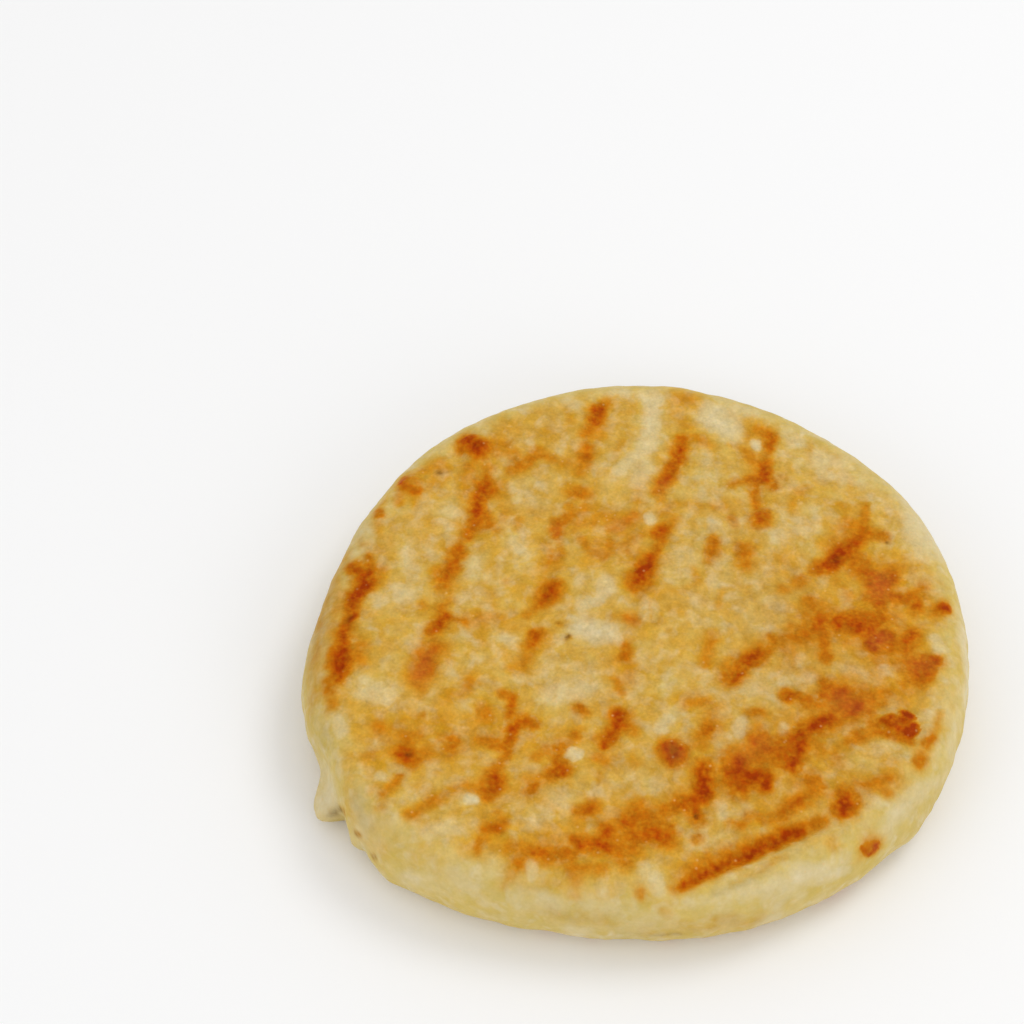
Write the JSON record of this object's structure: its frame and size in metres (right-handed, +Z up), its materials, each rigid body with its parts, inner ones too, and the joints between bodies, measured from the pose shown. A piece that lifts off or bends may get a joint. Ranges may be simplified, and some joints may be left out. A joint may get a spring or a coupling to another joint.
{
  "type": "cassava arepa",
  "caption": "Thick round flatbread of cassava dough with a rounded pale rim and griddle browning in streaks and blisters over its top, lying on its flat underside.",
  "frame": {"origin": "middle of the bounding box, on the surface that the underside rests on", "axes": "+Z up through the thickness, +X to the right and +Y away as the picture shows it"},
  "size_m": [0.1106, 0.11, 0.0161],
  "materials": {
    "crust": "griddled cassava dough: pale yellow with golden to orange-brown streaks and blisters, satin, fine grain"
  },
  "bodies": {
    "root": {"arepa": "crust"}
  },
  "joints": []
}
